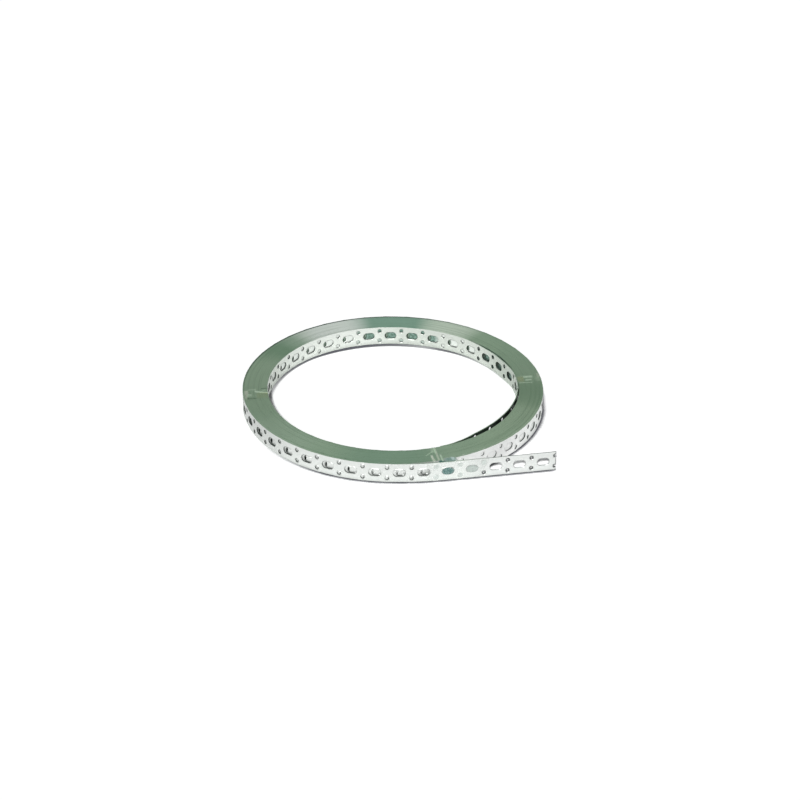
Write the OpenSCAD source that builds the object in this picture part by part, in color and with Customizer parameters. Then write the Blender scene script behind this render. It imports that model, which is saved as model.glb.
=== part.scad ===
// Roll of perforated steel strap, lying flat on one end.
// Origin: on the axis of the roll, at the level of the floor. +Z is the axis of the roll,
// and the free end of the strap leaves the roll at its -Y side and runs straight along +X.
// Distances along the strap are counted from where the roll's -Y side touches the Y axis.

/* [Strap] */
// Width of the strap, which is the height of the roll
strap_w = 17; // [16:0.5:20]
// Thickness of the strap
strap_t = 0.75; // [0.6:0.05:0.8]
// Distance from slot to slot along the strap
hole_pitch = 20; // [19:0.5:21]
// Length of a slot, end to end
slot_l = 10.5; // [8:0.5:12]
// Width of a slot
slot_w = 6.5; // [5.5:0.5:6.5]
// Diameter of a nail hole
nail_d = 3.6; // [3:0.2:3.8]
// Distance across the strap between the two nail holes of a pair
nail_spacing = 9.8; // [9:0.2:10.2]

/* [Roll] */
// Outer diameter of the roll
roll_d = 260; // [258:1:264]
// Diameter of the eye of the roll
eye_d = 215; // [212:1:216]
// Number of turns that show on the ends of the roll
turns = 27; // [24:1:30]
// Depth of the groove between two turns
turn_groove = 0.3; // [0.1:0.1:0.4]

/* [Free end] */
// Length of the straight free end, from the Y axis to where it is cut
tail_l = 110.8; // [110.4:0.2:111.6]
// How far the free end stands proud of the roll
tail_proud = 2.3; // [2:0.1:3]
// Angle before the Y axis at which the outermost turn starts to lift off the roll
lift_angle = 13; // [10:1:16]

/* [Sprung inner turn] */
// Direction of the middle of the stretch that has sprung off the roll into the eye
sprung_dir = -42.5; // [-45:0.5:-40]
// Half of the angle that the sprung stretch takes up
sprung_half = 31.1; // [29:0.5:32]
// Widest gap behind the sprung stretch
sprung_gap = 3.5; // [2.5:0.5:4.5]

/* [Tape] */
// Width of the adhesive tape
tape_w = 19; // [15:1:20]
// Thickness of the tape, with its windings on top of each other
tape_t = 0.2; // [0.1:0.05:0.4]
// Direction of the tape on the left of the roll
left_dir = 177.2; // [170:0.2:185]
// Direction of the tape on the right of the roll
right_dir = -3.4; // [-5:0.2:5]
// Start of the film that holds the free end, measured along the strap
film_start = 2; // [0:0.5:5]
// End of that film, measured along the strap
film_end = 50; // [45:0.5:52]
// How far the film laps onto the ends of the roll beside the free end
film_lap = 3; // [2:0.5:5]

/* [Hidden] */
$fn = 180;
hole_fn = 40;
over = 1;
// Gap that keeps two neighbouring solids from sharing a face
air = 0.02;
// Gap left between the roll and the cuts through the free end in front of it
cut_gap = 0.2;

roll_r = roll_d / 2;
eye_r = eye_d / 2;
turn_pitch = (roll_r - eye_r) / turns;
base_z = tape_t + air;
mid_z = base_z + strap_w / 2;
zinc = [0.82, 0.85, 0.84];
clear_film = [0.86, 0.9, 0.82, 0.5];

// Lift-off arc of the outermost turn: leaves the roll tangentially and ends straight
tail_y = roll_r + tail_proud;
lift_r = (tail_y - roll_r * cos(lift_angle)) / (1 - cos(lift_angle));
lift_x = (lift_r - roll_r) * sin(lift_angle);
lift_y = (lift_r - roll_r) * cos(lift_angle);

// Sprung arc of the innermost turn: flatter than the eye, and met by it at both ends
sprung_sag = eye_r - sprung_gap - eye_r * cos(sprung_half);
sprung_r = (pow(eye_r * sin(sprung_half), 2) + pow(sprung_sag, 2)) / (2 * sprung_sag);
sprung_back = sprung_r - (eye_r - sprung_gap);
sprung_arc = asin(eye_r * sin(sprung_half) / sprung_r);
// How far each end of the sprung arc runs on into the roll, and the roll into the arc
sprung_sink = 0.7;
sprung_lap = 2.5;
// How far the sprung stretch stands above the other turns
sprung_lift = 0.1;

// Angular pitch of the holes on the outermost turn, the innermost turn and the sprung arc
outer_step = hole_pitch / roll_r * 180 / PI;
inner_step = hole_pitch / eye_r * 180 / PI;
sprung_step = hole_pitch / sprung_r * 180 / PI;
// Slots of the outermost turn and of the free end
outer_slots = 40;
tail_slots = 6;
// Direction of one slot on the innermost turn, and how many follow it each way
inner_slot_dir = 80.1;
inner_slots_left = 19;
inner_slots_right = 8;
// Slots of the sprung stretch, and the angle from its end to its first slot
sprung_slots = 6;
sprung_margin = 3.6;

function turn_r(i) = eye_r + i * turn_pitch;

// One slot, lengthwise along X
module slot_outline() {
    square([slot_l - slot_w, slot_w], center = true);
    for (side = [-1, 1])
        translate([side * (slot_l - slot_w) / 2, 0]) circle(d = slot_w, $fn = hole_fn);
}

// One pair of nail holes, above each other across the strap
module nail_pair_outline() {
    for (side = [-1, 1])
        translate([0, side * nail_spacing / 2]) circle(d = nail_d, $fn = hole_fn);
}

// Cuts its child's outline outwards from radius r, in direction a, at mid-height of the strap
module radial_cut(a, r, depth) {
    rotate([0, 0, a])
        translate([r, 0, mid_z])
            rotate([90, 0, 90])
                linear_extrude(depth) children();
}

// Cuts its child's outline through the free end, at distance s along the strap
module tail_cut(s) {
    translate([s, -(roll_r + cut_gap), mid_z])
        rotate([90, 0, 0])
            linear_extrude(tail_proud + strap_t + over) children();
}

// The wound turns as one turned solid, with a V groove between two turns on both ends
module turned_coil() {
    half_v = turn_groove / 2;
    bottom = [for (i = [1 : turns - 1]) each [
        [turn_r(i) - half_v, 0],
        [turn_r(i), turn_groove],
        [turn_r(i) + half_v, 0]]];
    top = [for (i = [turns - 1 : -1 : 1]) each [
        [turn_r(i) + half_v, strap_w],
        [turn_r(i), strap_w - turn_groove],
        [turn_r(i) - half_v, strap_w]]];
    translate([0, 0, base_z])
        rotate_extrude()
            polygon(concat([[eye_r, 0]], bottom, [[roll_r, 0], [roll_r, strap_w]], top, [[eye_r, strap_w]]));
}

// Room behind the sprung stretch: the innermost turn is missing there
module sprung_room() {
    half = sprung_half - sprung_lap;
    translate([0, 0, base_z - over])
        rotate_extrude(angle = 2 * half, start = sprung_dir - half)
            translate([eye_r - over, 0]) square([turn_pitch + over, strap_w + 2 * over]);
}

// Places its children at the centre of the sprung arc
module at_sprung_centre() {
    rotate([0, 0, sprung_dir])
        translate([-sprung_back, 0, 0])
            rotate([0, 0, -sprung_dir]) children();
}

// The stretch of the innermost turn that has sprung into the eye
module sprung_turn() {
    half = sprung_arc + sprung_sink;
    at_sprung_centre()
        translate([0, 0, base_z + sprung_lift])
            rotate_extrude(angle = 2 * half, start = sprung_dir - half)
                translate([sprung_r, 0]) square([strap_t, strap_w]);
}

// The end of the outermost turn: it lifts off along an arc and runs straight to its cut
module free_end() {
    translate([0, 0, base_z]) {
        translate([lift_x, lift_y, 0])
            rotate_extrude(angle = lift_angle, start = -90 - lift_angle)
                translate([lift_r - strap_t, 0]) square([strap_t, strap_w]);
        translate([lift_x, -tail_y, 0]) cube([tail_l - lift_x, strap_t, strap_w]);
    }
}

// Holes of the outermost turn, from the lift-off round to under the free end
module outer_holes() {
    for (i = [1 : outer_slots])
        radial_cut(-90 - i * outer_step, roll_r - strap_t, strap_t + over) slot_outline();
    for (i = [0 : outer_slots])
        radial_cut(-90 - (i + 0.5) * outer_step, roll_r - strap_t, strap_t + over) nail_pair_outline();
}

// Holes of the innermost turn, where it lies against the roll
module inner_holes() {
    for (i = [-inner_slots_right : inner_slots_left])
        radial_cut(inner_slot_dir + i * inner_step, eye_r - over, strap_t + over) slot_outline();
    for (i = [-inner_slots_right - 1 : inner_slots_left - 1])
        radial_cut(inner_slot_dir + (i + 0.5) * inner_step, eye_r - over, strap_t + over)
            nail_pair_outline();
}

// Holes of the sprung stretch, open at both faces
module sprung_holes() {
    first = sprung_dir + sprung_arc - sprung_margin;
    depth = strap_t + 1.5 * over;
    at_sprung_centre() {
        for (i = [0 : sprung_slots - 1])
            radial_cut(first - i * sprung_step, sprung_r - over, depth) slot_outline();
        for (i = [0 : sprung_slots - 2])
            radial_cut(first - (i + 0.5) * sprung_step, sprung_r - over, depth) nail_pair_outline();
    }
}

// Holes of the free end: the last pair of nail holes is cut through by its end
module tail_holes() {
    for (i = [0 : tail_slots - 1]) {
        tail_cut(i * hole_pitch) slot_outline();
        tail_cut((i + 0.5) * hole_pitch) nail_pair_outline();
    }
}

module strap() {
    color(zinc)
        difference() {
            union() {
                difference() {
                    turned_coil();
                    sprung_room();
                }
                sprung_turn();
                free_end();
            }
            outer_holes();
            inner_holes();
            sprung_holes();
            tail_holes();
        }
}

// One band of tape right round the turns of the roll, with its middle in direction a
module tape_band(a) {
    arc = tape_w / ((roll_r + eye_r) / 2) * 180 / PI;
    color(clear_film)
        rotate_extrude(angle = arc, start = a - arc / 2)
            difference() {
                translate([eye_r - base_z, 0])
                    square([roll_r - eye_r + 2 * base_z, strap_w + 2 * base_z]);
                translate([eye_r - air, tape_t])
                    square([roll_r - eye_r + 2 * air, strap_w + 2 * air]);
            }
}

module tape_left() { tape_band(left_dir); }

module tape_right() { tape_band(right_dir); }

// Plan of the film: a band across the turns, and a wing that bridges to the tail beside it
module film_plan() {
    wing_x = film_start + tape_w;
    difference() {
        translate([film_start, -tail_y - base_z]) square([film_end - film_start, tail_y + base_z]);
        circle(r = eye_r - base_z);
        intersection() {
            circle(r = roll_r - film_lap);
            translate([wing_x, -roll_r]) square([film_end, roll_r]);
        }
    }
}

// Upright wall of the film along the outer face of the tail
module film_outer_wall() {
    translate([film_start, -tail_y - base_z, 0])
        cube([film_end - film_start, tape_t, strap_w + 2 * base_z]);
}

// Upright wall of the film inside the eye
module film_inner_wall() {
    wall_r = eye_r - base_z;
    from = asin(film_start / wall_r);
    to = asin((film_start + tape_w) / wall_r);
    rotate_extrude(angle = to - from, start = from - 90)
        translate([wall_r, 0]) square([tape_t, strap_w + 2 * base_z]);
}

// The film that holds the free end: it runs right round the turns and the tail
module tape_front() {
    color(clear_film) {
        for (z = [0, tape_t + strap_w + 2 * air])
            translate([0, 0, z]) linear_extrude(tape_t) film_plan();
        film_outer_wall();
        film_inner_wall();
    }
}

strap();
tape_left();
tape_right();
tape_front();
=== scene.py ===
import math

import bmesh
import bpy
from mathutils import Matrix, Vector, noise


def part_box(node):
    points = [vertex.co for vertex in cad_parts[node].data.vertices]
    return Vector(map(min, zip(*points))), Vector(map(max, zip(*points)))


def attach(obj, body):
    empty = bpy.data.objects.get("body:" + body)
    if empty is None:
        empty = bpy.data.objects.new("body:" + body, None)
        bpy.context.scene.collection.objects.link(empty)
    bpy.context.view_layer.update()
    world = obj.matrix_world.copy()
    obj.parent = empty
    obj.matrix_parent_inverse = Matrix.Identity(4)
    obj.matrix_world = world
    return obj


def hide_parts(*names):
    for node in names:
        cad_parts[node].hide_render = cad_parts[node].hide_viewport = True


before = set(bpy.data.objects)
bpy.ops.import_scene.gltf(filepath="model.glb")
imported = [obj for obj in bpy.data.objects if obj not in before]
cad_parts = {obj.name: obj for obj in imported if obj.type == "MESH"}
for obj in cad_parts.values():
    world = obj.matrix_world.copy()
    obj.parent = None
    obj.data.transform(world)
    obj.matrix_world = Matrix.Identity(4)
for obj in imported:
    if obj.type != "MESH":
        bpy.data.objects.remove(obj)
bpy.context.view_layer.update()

# ---------------------------------------------------------------------------
# Strap
# One strip of zinc-coated steel, 0.75 mm thick, punched with a slot and a pair of nail holes
# in turn and sheared to width. It is wound flat into 27 turns; its outer end springs off the
# roll and runs straight, and its innermost turn has sprung into the eye just before its end.
# ---------------------------------------------------------------------------
MM = 0.001
touching = 1e-6              # points nearer than this are one
cut_dist = 1e-7              # points nearer than this to a cut lie on it

# The strip, laid flat: x runs along it, y across it and z out of its outer side
strap_t, strap_w = 0.75 * MM, 17 * MM
pitch = 20 * MM
slot_l, slot_w = 10.5 * MM, 6.5 * MM
nail_d, nail_spacing = 3.6 * MM, 9.8 * MM
edge_bevel = 0.1 * MM
edge_bulge = 0.18 * MM       # how far punching a nail hole pushes the strap's edge out
bulge_reach = 2.2 * MM
rim_w, rim_depth = 0.7 * MM, 0.36 * MM    # the rims of the holes stand up on the outer side,
                                          # and are drawn in on the inner side and the free end
drawn_from, drawn_r = 45 * MM, 0.55 * MM  # from here on the free end's nail holes are drawn in
                                          # to this radius at the back
inner_side = 40 * MM         # the strap's map shows its inner side this far below its outer one
cell_start = 7.5 * MM        # the flat pattern repeats from this far before a slot's middle

# The roll
strap_low, strap_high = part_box("strap")
roll_r = strap_high.y + 0.3 * MM
eye_r = 108.1 * MM
tail_y = -strap_low.y
tail_end = 110.8 * MM
base_z = strap_low.z
lift_angle = math.radians(13)
inner_end = math.radians(-80)
whole_turns = 27
inner_slot = 1004            # this slot, counted back from the free end's first one,
inner_slot_dir = math.radians(80.3)           # lies in this direction on the innermost turn
slip_from, slip_over = 197 * MM, 408 * MM     # round the back of the outermost turn
slip = 8.8 * MM                               # the holes lie this much closer together in all,
later_from, later_share = 1400 * MM, 0.00918  # and by this share of the length further in
long_spring, short_spring = 3.9 * MM, 1.3 * MM      # widest gaps behind the two sprung stretches
seat_scatter, seat_length = 0.04 * MM, 250 * MM     # how unevenly the turns sit on the floor


def perforated_cell(slot_segments, nail_segments, slices):
    """One pitch of the strap, flat and closed but for its two ends, with its slot at the origin."""
    cell = bmesh.new()
    middle = pitch / 2 - cell_start
    square_on = Matrix.Rotation(math.radians(45), 4, "Z")
    bmesh.ops.create_circle(cell, segments=4, radius=1, matrix=square_on)
    for corner in cell.verts:
        corner.co.x = middle + math.copysign(pitch / 2, corner.co.x)
        corner.co.y = math.copysign(strap_w / 2, corner.co.y)
    if slot_segments:
        turned = Matrix.Rotation(math.pi / slot_segments, 4, "Z")
        slot = bmesh.ops.create_circle(cell, segments=slot_segments, radius=slot_w / 2, matrix=turned)
        for rim in slot["verts"]:
            rim.co.x += math.copysign((slot_l - slot_w) / 2, rim.co.x)
        for side in (-1, 1):
            place = Matrix.Translation((pitch / 2, side * nail_spacing / 2, 0))
            bmesh.ops.create_circle(cell, segments=nail_segments, radius=nail_d / 2, matrix=place)
    bmesh.ops.triangle_fill(cell, edges=cell.edges[:], use_beauty=True, normal=(0, 0, 1))
    for x in slices:
        everything = cell.verts[:] + cell.edges[:] + cell.faces[:]
        bmesh.ops.bisect_plane(cell, geom=everything, plane_co=(x, 0, 0), plane_no=(1, 0, 0), dist=cut_dist)
    raised = bmesh.ops.extrude_face_region(cell, geom=cell.faces[:], use_keep_orig=True)
    for part in raised["geom"]:
        if isinstance(part, bmesh.types.BMVert):
            part.co.z += strap_t
    ends = (-cell_start, pitch - cell_start)
    walls = [f for f in cell.faces if any(all(abs(v.co.x - x) < touching for v in f.verts) for x in ends)]
    bmesh.ops.delete(cell, geom=walls, context="FACES_ONLY")
    bmesh.ops.recalc_face_normals(cell, faces=cell.faces[:])
    long_edges = [
        e for e in cell.edges
        if all(abs(abs(v.co.y) - strap_w / 2) < touching for v in e.verts)
        and abs(e.verts[0].co.z - e.verts[1].co.z) < touching and not e.is_boundary
    ]
    bmesh.ops.bevel(cell, geom=long_edges, offset=edge_bevel, offset_type="OFFSET", segments=1,
                    profile=0.5, affect="EDGES", material=-1)
    for v in cell.verts:
        near = 1 - ((v.co.x - pitch / 2) / bulge_reach) ** 2
        if slot_segments and near > 0 and abs(v.co.y) > strap_w / 2 - 2 * edge_bevel:
            v.co.y += math.copysign(edge_bulge * near, v.co.y)
    mesh = bpy.data.meshes.new("cell")
    cell.to_mesh(mesh)
    cell.free()
    return mesh


def lies_at(back):
    """Where on the winding a point of the flat strip lies, both as lengths back from the lift-off."""
    slipped = slip * min(max((back - slip_from) / slip_over, 0), 1)
    return back - slipped - later_share * max(back - later_from, 0)


# The strap's centre line: spiral, lift-off arc, straight free end
lift_r = (tail_y - roll_r * math.cos(lift_angle)) / (1 - math.cos(lift_angle))
lift_x = (lift_r - roll_r) * math.sin(lift_angle)
lift_y = (lift_r - roll_r) * math.cos(lift_angle)
arc_r = lift_r - strap_t / 2
first_r = roll_r - strap_t / 2
first_dir = -math.pi / 2 - lift_angle
arc_start = lift_x - arc_r * lift_angle
wound_angle = 2 * math.pi * whole_turns - (inner_end - first_dir)
slot_angle = 2 * math.pi * whole_turns - (inner_slot_dir - first_dir)
slot_back = lies_at(pitch * inner_slot + arc_start)
wind_pitch = (first_r * slot_angle - slot_back) * 4 * math.pi / slot_angle ** 2
wound_length = first_r * wound_angle - wind_pitch * wound_angle ** 2 / (4 * math.pi)
strap_end = arc_start - (wound_length + slip - later_share * later_from) / (1 - later_share)


def ramp(x):
    """Rises smoothly from 0 at x = 0 to 1 at x = 1."""
    x = min(max(x, 0), 1)
    return x * x * (3 - 2 * x)


def stretch(back, start, rise, fall, end):
    """1 along a stretch of the strap, rising smoothly from its start and falling to its end."""
    return ramp((back - start) / rise) * ramp((end - back) / fall)


def spring(back):
    """How far the strap has sprung into the eye, at this angle in degrees back from its inner end."""
    return long_spring * stretch(back, 2, 22, 50, 80) + short_spring * stretch(back, 83, 12, 12, 122)


def centre_line(s):
    """The point of the strap's centre line at distance s along it, seen from above."""
    if s > lift_x:
        return Vector((s, -tail_y + strap_t / 2))
    if s > arc_start:
        a = -math.pi / 2 - (lift_x - s) / arc_r
        return Vector((lift_x + arc_r * math.cos(a), lift_y + arc_r * math.sin(a)))
    gone = lies_at(arc_start - s)
    turned = (first_r - math.sqrt(first_r ** 2 - wind_pitch * gone / math.pi)) * 2 * math.pi / wind_pitch
    r = first_r - wind_pitch * turned / (2 * math.pi) - spring(math.degrees(wound_angle - turned))
    a = first_dir - turned
    return Vector((r * math.cos(a), r * math.sin(a)))


def wound(flat):
    """Where a point of the flat strip lies once the strip is wound."""
    s = flat.x
    step = 0.5 * MM
    along = (centre_line(s + step) - centre_line(s - step)).normalized()
    outward = Vector((along.y, -along.x))
    spot = centre_line(s) + outward * (flat.z - strap_t / 2)
    seat = seat_scatter * (1 + noise.noise(Vector((s / seat_length, 0.5, 0.5))))
    return Vector((spot.x, spot.y, base_z + strap_w / 2 + flat.y + seat))


# The flat strip: its outer and inner turns have their holes, finely cut where they show most,
# and the turns between them are plain, as only their edges show
fine_slices = [x * MM for x in (-5, 0, 5, 8.5, 10, 11.5)]
coarse_slices = [x * MM for x in (-2.5, 2.5, 8, 10, 12)]
plain_slices = [x * MM for x in (-2.5, 2.5, 7.5)]
fine = perforated_cell(slot_segments=22, nail_segments=12, slices=fine_slices)
coarse = perforated_cell(slot_segments=10, nail_segments=6, slices=coarse_slices)
plain = perforated_cell(slot_segments=0, nail_segments=0, slices=plain_slices)

last_cell = math.floor((tail_end + cell_start) / pitch)
end_cell = math.floor((strap_end + cell_start) / pitch)
outer_fine, outer_coarse = 44, 88        # cells from the outside
inner_fine, inner_coarse = 36, 72        # cells from the inside

strip = bmesh.new()
for k in range(last_cell, end_cell - 1, -1):
    from_outside, from_inside = -k, k - end_cell
    if from_outside < outer_fine or from_inside < inner_fine:
        pattern = fine
    elif from_outside < outer_fine + outer_coarse or from_inside < inner_fine + inner_coarse:
        pattern = coarse
    else:
        pattern = plain
    have = len(strip.verts)
    strip.from_mesh(pattern)
    strip.verts.ensure_lookup_table()
    for v in strip.verts[have:]:
        v.co.x += k * pitch
for pattern in (fine, coarse, plain):
    bpy.data.meshes.remove(pattern)
bmesh.ops.remove_doubles(strip, verts=strip.verts[:], dist=touching)
for x, away in ((tail_end, 1), (strap_end, -1)):
    everything = strip.verts[:] + strip.edges[:] + strip.faces[:]
    cut = bmesh.ops.bisect_plane(strip, geom=everything, plane_co=(x, 0, 0), plane_no=(away, 0, 0),
                                 clear_outer=True, dist=cut_dist)
    cut_rim = [part for part in cut["geom_cut"] if isinstance(part, bmesh.types.BMEdge)]
    bmesh.ops.holes_fill(strip, edges=cut_rim, sides=0)
bmesh.ops.recalc_face_normals(strip, faces=strip.faces[:])

zinc_side, sheared_edge, punched_wall = 0, 1, 2       # the strap's materials
strip_map = strip.loops.layers.uv.new("Strip")
for face in strip.faces:
    face.smooth = True
    if abs(face.normal.z) > 0.9:
        face.material_index = zinc_side
    elif abs(face.calc_center_median().y) > strap_w / 2 - 2 * edge_bevel:
        face.material_index = sheared_edge
    else:
        face.material_index = punched_wall
    below = inner_side if face.normal.z < -0.5 else 0
    for corner in face.loops:
        corner[strip_map].uv = (corner.vert.co.x, corner.vert.co.y - below)

drawn_in = 1 - 2 * drawn_r / nail_d
for v in strip.verts:
    off_x = v.co.x % pitch - pitch / 2
    off_y = abs(v.co.y) - nail_spacing / 2
    on_a_nail_hole = math.hypot(off_x, off_y) < nail_d / 2 + touching
    if on_a_nail_hole and v.co.x > drawn_from and v.co.z < strap_t / 2:
        if v.co.x < tail_end - touching:
            v.co.x -= off_x * drawn_in
        v.co.y -= math.copysign(off_y * drawn_in, v.co.y)
for v in strip.verts:
    v.co = wound(v.co)
strap_mesh = bpy.data.meshes.new("strap_roll")
strip.to_mesh(strap_mesh)
strip.free()
strap_mesh.set_sharp_from_angle(angle=math.radians(30))
strap = bpy.data.objects.new("strap_roll", strap_mesh)
bpy.context.scene.collection.objects.link(strap)


class Wire:
    """A node's output, on which arithmetic adds Math nodes."""

    def __init__(self, finish, socket):
        self.finish = finish
        self.socket = socket

    def maths(self, operation, *values):
        return self.finish.node("ShaderNodeMath", {"operation": operation}, dict(enumerate(values)))

    def __add__(self, other):
        return self.maths("ADD", self, other)

    def __sub__(self, other):
        return self.maths("SUBTRACT", self, other)

    def __rsub__(self, other):
        return self.maths("SUBTRACT", other, self)

    def __mul__(self, other):
        return self.maths("MULTIPLY", self, other)

    def __truediv__(self, other):
        return self.maths("DIVIDE", self, other)

    def __pow__(self, other):
        return self.maths("POWER", self, other)

    __radd__ = __add__
    __rmul__ = __mul__

    def __abs__(self):
        return self.maths("ABSOLUTE", self)

    def at_least(self, other):
        return self.maths("MAXIMUM", self, other)

    def at_most(self, other):
        return self.maths("MINIMUM", self, other)

    def clamped(self):
        return self.finish.node("ShaderNodeClamp", {}, {0: self})

    def past(self, start, over):
        """0 up to start, then rising evenly to 1 over this length."""
        return ((self - start) / over).clamped()

    def before(self, end, over):
        """1 until this length before end, then falling evenly to 0 at the end."""
        return ((end - self) / over).clamped()

    def wrapped(self, half):
        """The value less whole steps, so that it lies between -half and half."""
        return self.maths("WRAP", self, half, -half)


class Finish:
    """The nodes of a material, or of the world, while they are put together."""

    def __init__(self, owner):
        self.owner = owner
        owner.use_nodes = True
        self.tree = owner.node_tree
        self.tree.nodes.clear()

    def node(self, kind, settings=None, sockets=None, output=0):
        made = self.tree.nodes.new(kind)
        for name, value in (settings or {}).items():
            setattr(made, name, value)
        for name, value in (sockets or {}).items():
            if isinstance(value, Wire):
                self.tree.links.new(value.socket, made.inputs[name])
            else:
                made.inputs[name].default_value = value
        return Wire(self, made.outputs[output])

    def mix(self, share, first, second):
        return self.node("ShaderNodeMix", {"data_type": "RGBA"}, {0: share, 6: first, 7: second}, 2)

    def stretched(self, vector, x, y, z=1):
        return self.node("ShaderNodeVectorMath", {"operation": "MULTIPLY"}, {0: vector, 1: (x, y, z)})

    def noise(self, vector, scale, detail=2, roughness=0.5):
        return self.node("ShaderNodeTexNoise", {},
                         {"Vector": vector, "Scale": scale, "Detail": detail, "Roughness": roughness})

    def part(self, vector, axis):
        return self.node("ShaderNodeSeparateXYZ", {}, {0: vector}, axis)

    def flat_map(self, name):
        """A piece's flat map, and the lengths along and across it."""
        flat = self.node("ShaderNodeUVMap", {"uv_map": name})
        return flat, self.part(flat, "X"), self.part(flat, "Y")

    def place(self):
        return self.node("ShaderNodeTexCoord", output="Object")

    def heading(self):
        """The direction from the roll's middle, seen from above."""
        level = self.stretched(self.place(), 1, 1, 0)
        return self.node("ShaderNodeVectorMath", {"operation": "NORMALIZE"}, {0: level})

    def toward(self, heading, degrees, spread):
        """1 in this direction from the roll's middle, falling to 0 at spread degrees off it."""
        a = math.radians(degrees)
        aim = (math.cos(a), math.sin(a), 0)
        near = self.node("ShaderNodeVectorMath", {"operation": "DOT_PRODUCT"}, {0: heading, 1: aim}, "Value")
        edge = math.cos(math.radians(spread))
        return self.node("ShaderNodeMapRange", {"interpolation_type": "SMOOTHSTEP"}, {0: near, 1: edge})

    def fanned(self, heading, colour, fans):
        """The colour with fans over it, each with its direction, spread, share and colour."""
        for degrees, spread, share, fan in fans:
            colour = self.mix(self.toward(heading, degrees, spread) * share, colour, fan)
        return colour

    def done(self, shader, kind="ShaderNodeOutputMaterial"):
        end = self.tree.nodes.new(kind)
        self.tree.links.new(shader.socket, end.inputs["Surface"])
        return self.owner


def srgb(red, green, blue):
    """A colour written in 0 to 255 steps, as the linear colour that shaders take."""
    def linear(c):
        c /= 255
        return c / 12.92 if c <= 0.04045 else ((c + 0.055) / 1.055) ** 2.4
    return (linear(red), linear(green), linear(blue), 1)


def zinc_finish():
    """Bright zinc: faint rolling lines along the strap and cloudy patches, with painted light and shade by
    direction and painted shade on the turns deeper in.
    """
    zinc = Finish(bpy.data.materials.new("bright_zinc"))
    heading = zinc.heading()
    flat, s, map_y = zinc.flat_map("Strip")
    y = map_y.wrapped(inner_side / 2)
    inner = map_y.before(-inner_side / 2, MM)
    free = s.past(30 * MM, 20 * MM)
    lines = zinc.noise(zinc.stretched(flat, 40, 2600), 1, 3)
    clouds = zinc.noise(zinc.stretched(flat, 90, 160), 1, 3)
    dull = zinc.noise(zinc.stretched(flat, 260, 420), 1, 4, 0.7).past(0.62, 1 / 6)
    dabs = zinc.noise(zinc.stretched(flat, 420, 620), 1, 2, 0.6).past(0.4, 1 / 4)

    # Painted light and shade by direction: the outer face is darker to the left and lighter to the right.
    outer_zinc = zinc.fanned(heading, zinc.mix(clouds, srgb(212, 216, 212), srgb(224, 227, 224)), (
        (180, 45, 0.22, srgb(60, 64, 62)), (-58, 42, 0.9, srgb(238, 241, 238))))
    # Painted light: the outer face just behind the free end is made near white and less metallic, against
    # the shade and dark reflections there.
    painted_light_wedge = zinc.toward(heading, -64, 24) * s.before(lift_x, pitch) * (1 - inner)
    outer_zinc = zinc.mix(painted_light_wedge, outer_zinc, srgb(253, 254, 253))
    outer_zinc = zinc.mix(free * 0.4, outer_zinc, srgb(192, 195, 193))
    # Painted light and shade by direction: the inner face is lighter at the back and darker to the right.
    inner_zinc = zinc.fanned(heading, zinc.mix(clouds, srgb(200, 206, 199), srgb(213, 219, 211)), (
        (112, 40, 0.7, srgb(232, 237, 231)), (0, 34, 0.8, srgb(176, 186, 175))))
    bright = zinc.mix(dull * 0.35, zinc.mix(inner, outer_zinc, inner_zinc), srgb(176, 186, 177))
    # Painted shade: a dark blue-green patch on the outer turn behind the free end's slot at 20 mm, where the
    # gap lies in shade.
    gap_shade_at, gap_shade_half = -803 * MM, 4.5 * MM
    gap_shade_patch = (3 - ((s - gap_shade_at) / gap_shade_half) ** 2).clamped() * (1 - inner)
    bright = zinc.mix(gap_shade_patch, bright, srgb(92, 140, 130))
    # The last millimetre of the free end is darker.
    darker_end = s.past(tail_end - 0.9 * MM, 0.5 * MM)
    bright = zinc.mix(darker_end * 0.8, bright, srgb(104, 108, 106))

    # Painted shade: the outer turns deeper than the third are darkened almost to black, where the light
    # hardly reaches.
    bright_turns = 3
    outer_turn, inner_turn = 2 * math.pi * roll_r, 2 * math.pi * eye_r
    deep_turn_shade = s.before(arc_start - bright_turns * outer_turn, pitch)
    # Painted shade in the eye: seen through the innermost turn's holes, the second turn is dark blue-green
    # in two stretches of direction where it stands off in shade, paler at the lower nail holes, and the
    # turns deeper in are darker grey-green.
    under_one = s.past(strap_end + inner_turn, pitch) * s.before(arc_start, pitch)
    under_two = s.past(strap_end + 2 * inner_turn, pitch) * under_one
    shaded = (3 * zinc.toward(heading, 77, 23) + 3 * zinc.toward(heading, 14, 24)).clamped()
    low_nail = y.before(-2.5 * MM, MM) * zinc.toward(heading, 77, 40)
    teal = zinc.mix(dabs, srgb(90, 118, 106), srgb(136, 164, 152))
    teal = zinc.mix(low_nail * 0.8, teal, srgb(190, 202, 194))
    eye_side = zinc.mix(under_one, bright, zinc.mix(shaded, srgb(224, 230, 224), teal))
    eye_side = zinc.mix(under_two, eye_side, srgb(124, 144, 128))
    colour = zinc.mix(inner, zinc.mix(deep_turn_shade, bright, srgb(34, 46, 38)), eye_side)

    from_slot = abs(s.wrapped(pitch / 2))
    off_nail = ((pitch / 2 - from_slot) ** 2 + (abs(y) - nail_spacing / 2) ** 2) ** 0.5 - nail_d / 2
    slot_end = (from_slot - (slot_l - slot_w) / 2).at_least(0)
    off_slot = (slot_end ** 2 + y ** 2) ** 0.5 - slot_w / 2
    rim = off_nail.at_most(off_slot).before(rim_w, rim_w) ** 2
    rims = zinc.node("ShaderNodeBump", {}, {
        "Strength": 1, "Distance": rim_depth, "Height": rim * (1 - 2 * inner.at_least(free))})
    relief = zinc.node("ShaderNodeBump", {}, {
        "Strength": 0.12, "Distance": 0.05 * MM, "Height": lines, "Normal": rims})
    return zinc.done(zinc.node("ShaderNodeBsdfPrincipled", {}, {
        "Base Color": colour, "Metallic": 0.6 - 0.6 * painted_light_wedge, "Roughness": 0.3 + 0.1 * lines + 0.1 * dull,
        "Normal": relief}))


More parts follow.
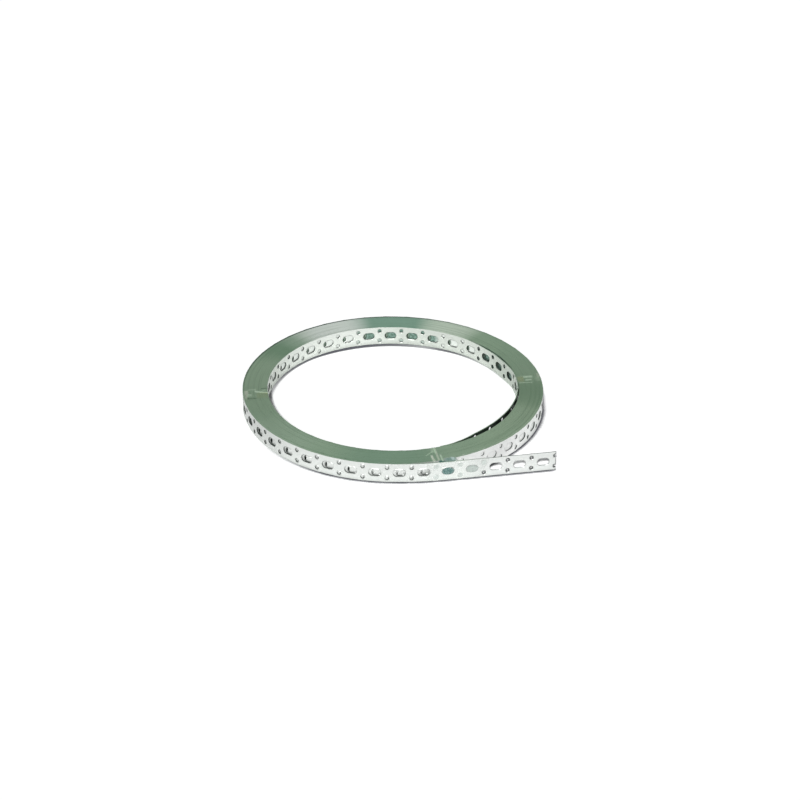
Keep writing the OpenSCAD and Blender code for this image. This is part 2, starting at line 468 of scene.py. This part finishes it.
def sheared_finish():
    """Sheared edges: a matt grey-green, streaked along each turn, with paler and darker fans by direction
    that are painted sheen and painted reflection.
    """
    cut = Finish(bpy.data.materials.new("sheared_edge"))
    heading = cut.heading()
    flat, s, _ = cut.flat_map("Strip")
    streaks = cut.noise(cut.stretched(flat, 5, 0), 1, 4, 0.6).past(0.2, 1 / 3.3)
    nicks = cut.noise(cut.stretched(flat, 140, 0), 1, 2)
    blotches = cut.noise(cut.place(), 22, 2)
    # Painted sheen and painted reflection: paler and darker fans by direction round the roll.
    tone = cut.fanned(heading, cut.mix(blotches, srgb(130, 158, 132), srgb(152, 176, 150)), (
        (-102, 26, 0.8, srgb(114, 146, 122)), (-42, 28, 0.7, srgb(160, 184, 156)),
        (-17, 14, 0.45, srgb(110, 142, 112)), (-148, 20, 0.4, srgb(166, 188, 166)),
        (82, 34, 0.85, srgb(120, 158, 140)), (136, 17, 0.7, srgb(112, 146, 118)),
        (158, 20, 0.6, srgb(158, 182, 156)), (121, 14, 0.45, srgb(174, 192, 176)),
        (107.2, 19.6, 1, srgb(214, 223, 215)), (53.8, 15.8, 0.86, srgb(198, 213, 195))))
    # Painted shade: the top edges of the two outermost turns are darkened towards the back, a dark line
    # along the roll's back outline.
    outermost = s.past(-4 * math.pi * roll_r, pitch)
    tone = cut.mix(outermost * cut.toward(heading, 105, 80), tone, srgb(74, 90, 80))
    tone = cut.mix(streaks, srgb(104, 132, 106), tone)
    tone = cut.mix(s.past(30 * MM, 30 * MM) * 0.8, tone, srgb(104, 110, 108))
    tone = cut.mix(nicks.past(0.6, 1 / 4) * 0.3, tone, srgb(176, 196, 176))
    return cut.done(cut.node("ShaderNodeBsdfPrincipled", {}, {
        "Base Color": tone, "Metallic": 0.1, "Roughness": 0.5 + 0.16 * nicks}))


def punched_finish():
    """Walls of the punched holes: dark in the wound turns, their own dark torn steel with painted shade of
    the gaps between turns; lighter in the free end, whose nail holes' walls are darkened as painted shade.
    """
    wall = Finish(bpy.data.materials.new("punched_wall"))
    _, s, y = wall.flat_map("Strip")
    # Painted shade: the walls of the free end's nail holes are darker than those of its slots.
    nail_hole = abs(y).past(slot_w / 2 + 0.05 * MM, MM)
    free_end_walls = wall.mix(nail_hole, srgb(168, 174, 170), srgb(84, 88, 86))
    colour = wall.mix(s.past(0, 10 * MM), srgb(36, 46, 40), free_end_walls)
    return wall.done(wall.node("ShaderNodeBsdfPrincipled", {}, {"Base Color": colour, "Roughness": 0.6}))


for finish in (zinc_finish(), sheared_finish(), punched_finish()):
    strap_mesh.materials.append(finish)
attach(strap, "root")
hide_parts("strap")

# ---------------------------------------------------------------------------
# Tape
# Three bands of clear adhesive film, 19 mm wide, hold the turns together. Two lie right round
# the turns, left and right. The third is wound over the turns and the free end as well, and
# its wing bridges the gap between them. It is creased where it goes over the turns.
# ---------------------------------------------------------------------------
tape_w = 19 * MM
film_t = 0.05 * MM
film_low = 0.02 * MM
film_high = base_z + strap_w + 0.3 * MM
film_gap = 0.12 * MM
crease = 0.35 * MM
creases_across, creases_along = 900, 60     # how closely the creases follow each other, to the metre


def film_finish(name, colour, face_veil, creases, windows=()):
    """Clear film: all but unseen and faintly milky down its outer face, with crease marks that are partly
    milky film and partly painted highlights along the crease ridges.

    A crease has a tone, a place across the tape, a lean, an inner and an outer radius, half a
    width and a strength. A window, where the film lies over a hole, has a middle along the
    strap, a height, half a length, half a width, a tone and a strength. Lengths are millimetres.
    """
    film = Finish(bpy.data.materials.new(name))
    sheet, x, out = film.flat_map("Sheet")
    x, out = x / MM, (out - film_high) / MM
    z = film.part(film.place(), "Z")
    ragged = film.noise(film.stretched(sheet, 700, 500), 1, 2, 0.6)
    mottled = film.noise(film.stretched(sheet, 900, 1100), 1, 2, 0.6).past(0.47, 1 / 6)
    on_top = z.past(film_high - MM, 0.5 * MM)
    alpha = face_veil * (1 - on_top)
    for at, height, length, width, tone, share in windows:
        off = ((x - at) / length) ** 2 + ((z / MM - height) / width) ** 2
        within = (3 - 2.6 * off).clamped() * (1 - on_top)
        colour = film.mix(within, colour, film.mix(mottled * 0.4, tone, srgb(206, 226, 219)))
        alpha = alpha + within * (share - face_veil) * (1.15 - ragged.past(0.5, 1 / 4) * 0.6)
    fade = 1.2
    for tone, at, lean, low, high, width, strength in creases:
        across = (x - at - lean * (high - out)) / width
        along = out.past(low - fade / 2, fade) * out.before(high + fade / 2, fade)
        shape = (1.3 - across ** 2).clamped() * along * on_top
        colour = film.mix(shape, colour, tone)
        alpha = alpha + shape * strength * (0.4 + 1.2 * ragged)
    return film.done(film.node("ShaderNodeBsdfPrincipled", {}, {
        "Base Color": colour, "Roughness": 0.2, "Alpha": alpha.clamped(), "Specular IOR Level": 0.3}))


def film_sheet(name, near, far, direction, finish, start, stop, wing=None):
    """A band of film right round the strap, made of one sheet joined at its inner top edge.

    near(x) and far(x) are its distances from the roll's axis. It reaches across from start to
    stop(height), where height is 0 at its foot and 1 on top. A wing is given by its start and
    its inner line: past that start the film reaches inwards only as far as the line.
    """
    across = round((stop(1) - start) / (0.6 * MM))
    counts = (26, 16, 16, 12)      # steps over the top, down the outside, below, up in the eye
    around = sum(counts)
    sheet = bmesh.new()
    bmesh.ops.create_grid(sheet, x_segments=across, y_segments=around, size=1)
    sheet_map = sheet.loops.layers.uv.new("Sheet")
    places = {}
    for v in sheet.verts:
        step = (v.co.y + 1) / 2 * around
        for side, count in enumerate(counts):
            if step <= count + 1e-4:
                break
            step -= count
        t = step / count
        height = (1, 1 - t, 0, t)[side]
        x = start + (v.co.x + 1) / 2 * (stop(height) - start)
        n, f = near(x), far(x)
        out = (n + t * (f - n), f, f - t * (f - n), n)[side]
        z = film_low + height * (film_high - film_low)
        pattern_at = Vector((x * creases_across, (out + z) * creases_along, direction))
        fold = crease * abs(noise.noise(pattern_at)) * ramp((z - 2 * MM) / (4 * MM))
        if side == 0:
            z += fold * ramp(t * 12)          # flat at the seam
        elif side == 1:
            out += fold * 0.5 * ramp(t * 4)
        places[v] = (x, out, z)
    for face in sheet.faces:
        for corner in face.loops:
            x, out, z = places[corner.vert]
            corner[sheet_map].uv = (x, out + z)
    if wing:
        wing_start, inner_line = wing
        outside = [f for f in sheet.faces
                   if all(places[v][0] > wing_start and places[v][1] < inner_line(places[v][0])
                          for v in f.verts)]
        bmesh.ops.delete(sheet, geom=outside, context="FACES")
    tangent = Vector((-math.sin(direction), math.cos(direction), 0))
    outward = Vector((math.cos(direction), math.sin(direction), 0))
    for v in sheet.verts:
        x, out, z = places[v]
        v.co = tangent * x + outward * out + Vector((0, 0, z))
    bmesh.ops.remove_doubles(sheet, verts=sheet.verts[:], dist=touching)
    bmesh.ops.recalc_face_normals(sheet, faces=sheet.faces[:])
    mesh = bpy.data.meshes.new(name)
    sheet.to_mesh(mesh)
    sheet.free()
    for polygon in mesh.polygons:
        polygon.use_smooth = True
    mesh.materials.append(finish)
    band = bpy.data.objects.new(name, mesh)
    bpy.context.scene.collection.objects.link(band)
    wall = band.modifiers.new("film", "SOLIDIFY")
    wall.thickness = film_t
    wall.offset = 1
    return band


def round_the_turns(x):
    return math.sqrt((roll_r + film_gap) ** 2 - x * x)


def in_the_eye(x):
    return math.sqrt((eye_r - film_gap) ** 2 - x * x)


# The pale and milky crease tones are partly milky film and partly painted highlights along the crease
# ridges.
pale_green, milky = srgb(192, 216, 190), srgb(208, 220, 200)
dark_edge, warm = srgb(74, 104, 76), srgb(184, 200, 158)
left_creases = (
    (milky, -3, 0, 125.4, 128.8, 3.4, 0.5), (pale_green, 2, 0, 122.6, 127, 2.2, 0.5),
    (pale_green, -4, 0.32, 108.8, 119.8, 1.8, 0.85), (pale_green, -5.6, 0, 110, 113.6, 0.9, 0.5),
    (pale_green, -7, 0, 118, 126, 1.8, 0.3), (milky, 4, 0, 126.6, 129.2, 5, 0.3),
    (warm, 3.4, 0, 109, 119, 5, 0.12),
    (dark_edge, 7.6, 0, 119, 127, 1.4, 0.12), (dark_edge, -8.4, 0, 109, 114, 1.2, 0.12))
right_creases = (
    (pale_green, 1, 0, 114.6, 122.8, 1.9, 0.75), (pale_green, -4.1, 0, 115.6, 121.4, 1.6, 0.7),
    (pale_green, -9.2, 0, 108.8, 121, 1, 0.4), (milky, 3, 0, 126.6, 129.2, 4.6, 0.3),
    (pale_green, -3.4, 0, 124.6, 128.6, 4, 0.25), (warm, -2.4, 0, 108.8, 114.6, 5.6, 0.3))
for name, degrees, creases in (("tape_left_film", 177.2, left_creases),
                               ("tape_right_film", -3.4, right_creases)):
    finish = film_finish(name, pale_green, 0.05, creases)
    band = film_sheet(name, in_the_eye, round_the_turns, math.radians(degrees), finish,
                      -tape_w / 2, lambda height: tape_w / 2)
    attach(band, "root")
    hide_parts(name.removesuffix("_film"))

# The film at the front, whose far edge leans from its foot to its head
film_start, film_foot, film_head = 2 * MM, 47 * MM, 55 * MM
film_lap = 3.05 * MM         # how far its wing laps onto the roll


def round_the_tail(x):
    """The free end's outer face, seen from the roll's axis."""
    if x > lift_x:
        return tail_y + film_gap
    return math.sqrt((lift_r + film_gap) ** 2 - (x - lift_x) ** 2) - lift_y


def lap_line(x):
    return math.sqrt((roll_r - film_lap) ** 2 - x * x)


zinc_white, teal, pale_grey = srgb(206, 211, 207), srgb(76, 114, 110), srgb(174, 182, 177)
# The broad grey-green crease at 22.5 mm is painted shade: it tints the film over the shaded gap between the
# roll and the free end.
front_creases = (
    (milky, 8.5, 0, 120.8, 126, 1, 0.85), (milky, 8.9, 0, 126, 131, 1.3, 0.5),
    (pale_green, 15.8, 0, 120.6, 131, 0.9, 0.6), (milky, 13, 0, 108.6, 130, 1, 0.35),
    (pale_green, 4, 1.15, 115, 120.4, 0.8, 0.4), (pale_green, 11.4, 0, 108.8, 117, 2, 0.3),
    (srgb(140, 170, 160), 22.5, 0, 126.6, 131.8, 5.4, 0.85),
    (srgb(196, 220, 214), 24.6, 0, 126, 130.4, 1.4, 0.6))
# The window over the slot at 20 mm is painted shade of the gap behind it.
front_windows = (
    (20, 8.7, 5.2, 3.4, teal, 0.75), (40, 8.7, 5.2, 3.4, pale_grey, 0.65),
    (10, 13.6, 2.3, 2.3, zinc_white, 0.6), (10, 3.8, 2.3, 2.3, zinc_white, 0.7),
    (30, 13.6, 2.3, 2.3, zinc_white, 0.55), (30, 3.8, 2.3, 2.3, zinc_white, 0.6),
    (50, 13.6, 2.3, 2.3, zinc_white, 0.7))
front_finish = film_finish("tape_front_film", zinc_white, 0.1, front_creases, front_windows)
front = film_sheet("tape_front_film", in_the_eye, round_the_tail, math.radians(-90), front_finish,
                   film_start, lambda height: film_foot + height * (film_head - film_foot),
                   (film_start + tape_w, lap_line))
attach(front, "root")
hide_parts("tape_front")
front.visible_shadow = False     # so clear that it takes no light from the turns behind it

# ---------------------------------------------------------------------------
# Floor and light
# A plain white floor that runs into a white room, one soft lamp above the camera and a little to
# its left, and an even sky. The floor shows white to the camera and keeps the contact shadow.
# ---------------------------------------------------------------------------
floor_half = 2.0
ground = bmesh.new()
bmesh.ops.create_grid(ground, x_segments=1, y_segments=1, size=floor_half)
floor_mesh = bpy.data.meshes.new("floor")
ground.to_mesh(floor_mesh)
ground.free()
floor = bpy.data.objects.new("floor", floor_mesh)
bpy.context.scene.collection.objects.link(floor)

white = Finish(bpy.data.materials.new("white_floor"))
seen = white.node("ShaderNodeLightPath", output="Is Camera Ray")
mirrored = white.node("ShaderNodeLightPath", output="Is Glossy Ray")
through = white.node("ShaderNodeLightPath", output="Is Transmission Ray")
from_middle = white.stretched(white.place(), 1, 1, 0)
reach = white.node("ShaderNodeVectorMath", {"operation": "LENGTH"}, {0: from_middle}, "Value")
around = white.heading()
in_eye = reach.before(eye_r + 10 * MM, MM)

# The painted contact shadow: a thin dark line where the strap meets the floor, outside the roll and within
# its eye, its strength and reach set by direction
near_strap = white.node("ShaderNodeAmbientOcclusion", {"samples": 16}, {"Distance": 6 * MM}, "AO")
outer_line = (1.4 * white.toward(around, -72, 104)).clamped()
line = (1 - near_strap.past(0.6, 1 / 3.2)) * outer_line * (1 - in_eye)
eye_line = 0.98 * white.toward(around, 108, 84) + 0.6 * white.toward(around, 34, 32)
eye_shade = 3.4 * MM + 2.2 * MM * white.toward(around, 84, 42)      # its reach into the eye
soft_rim = 2.4 * MM
line = line + reach.past(eye_r - eye_shade, soft_rim) * eye_line * in_eye
plain_white = (0.85, 0.85, 0.85, 1)
seen_white = (1.42, 1.42, 1.42, 1)      # what the camera and reflections see: white in this light
seen_floor = white.mix(line * (1 - 0.45 * mirrored), seen_white, srgb(88, 88, 96))
floor_colour = white.mix((seen + mirrored + through).clamped(), plain_white, seen_floor)
floor_mesh.materials.append(white.done(white.node("ShaderNodeBsdfDiffuse", {}, {"Color": floor_colour})))

room = Finish(bpy.data.worlds.new("white_room"))
even_sky = (0.155, 0.158, 0.161, 1)
sky_seen = room.node("ShaderNodeLightPath", output="Is Camera Ray")
sky_through = room.node("ShaderNodeLightPath", output="Is Transmission Ray")
sky_colour = room.mix((sky_seen + sky_through).clamped(), even_sky, (1, 1, 1, 1))
sky = room.node("ShaderNodeBackground", {}, {"Color": sky_colour})
bpy.context.scene.world = room.done(sky, "ShaderNodeOutputWorld")

lamp_azimuth, lamp_elevation = math.radians(-17), math.radians(37)
floor_light = 0.575          # the part of the floor's white that the lamp gives
lamp_data = bpy.data.lights.new("soft_lamp", "SUN")
lamp_data.angle = math.radians(4.5)
lamp_data.energy = math.pi * floor_light / math.sin(lamp_elevation)
lamp = bpy.data.objects.new("soft_lamp", lamp_data)
lamp.rotation_euler = (math.pi / 2 - lamp_elevation, 0, lamp_azimuth)
bpy.context.scene.collection.objects.link(lamp)

# ---------------------------------------------------------------------------
# Camera
# Looks down on the roll from its front, a little to the left of the free end's side.
# ---------------------------------------------------------------------------
camera_azimuth = math.radians(-11.5)
camera_elevation = math.radians(29.72)
camera_roll = math.radians(0.68)
camera_distance = 1807 * MM
aim_right, aim_up = 6.06 * MM, 2.54 * MM

camera_data = bpy.data.cameras.new("camera")
camera_data.lens = 93.5
camera_data.sensor_width = 36
camera_data.clip_start, camera_data.clip_end = 0.1, 20
camera = bpy.data.objects.new("camera", camera_data)
bpy.context.scene.collection.objects.link(camera)
sin_a, cos_a = math.sin(camera_azimuth), math.cos(camera_azimuth)
sin_e, cos_e = math.sin(camera_elevation), math.cos(camera_elevation)
back = Vector((sin_a * cos_e, -cos_a * cos_e, sin_e))
right = Vector((cos_a, sin_a, 0))
up = Vector((-sin_a * sin_e, cos_a * sin_e, cos_e))
camera.location = back * camera_distance + right * aim_right + up * aim_up
facing = back.to_track_quat("Z", "Y").to_matrix().to_4x4()
camera.rotation_euler = (facing @ Matrix.Rotation(camera_roll, 4, "Z")).to_euler()
bpy.context.scene.camera = camera
bpy.context.scene.view_settings.view_transform = "Standard"
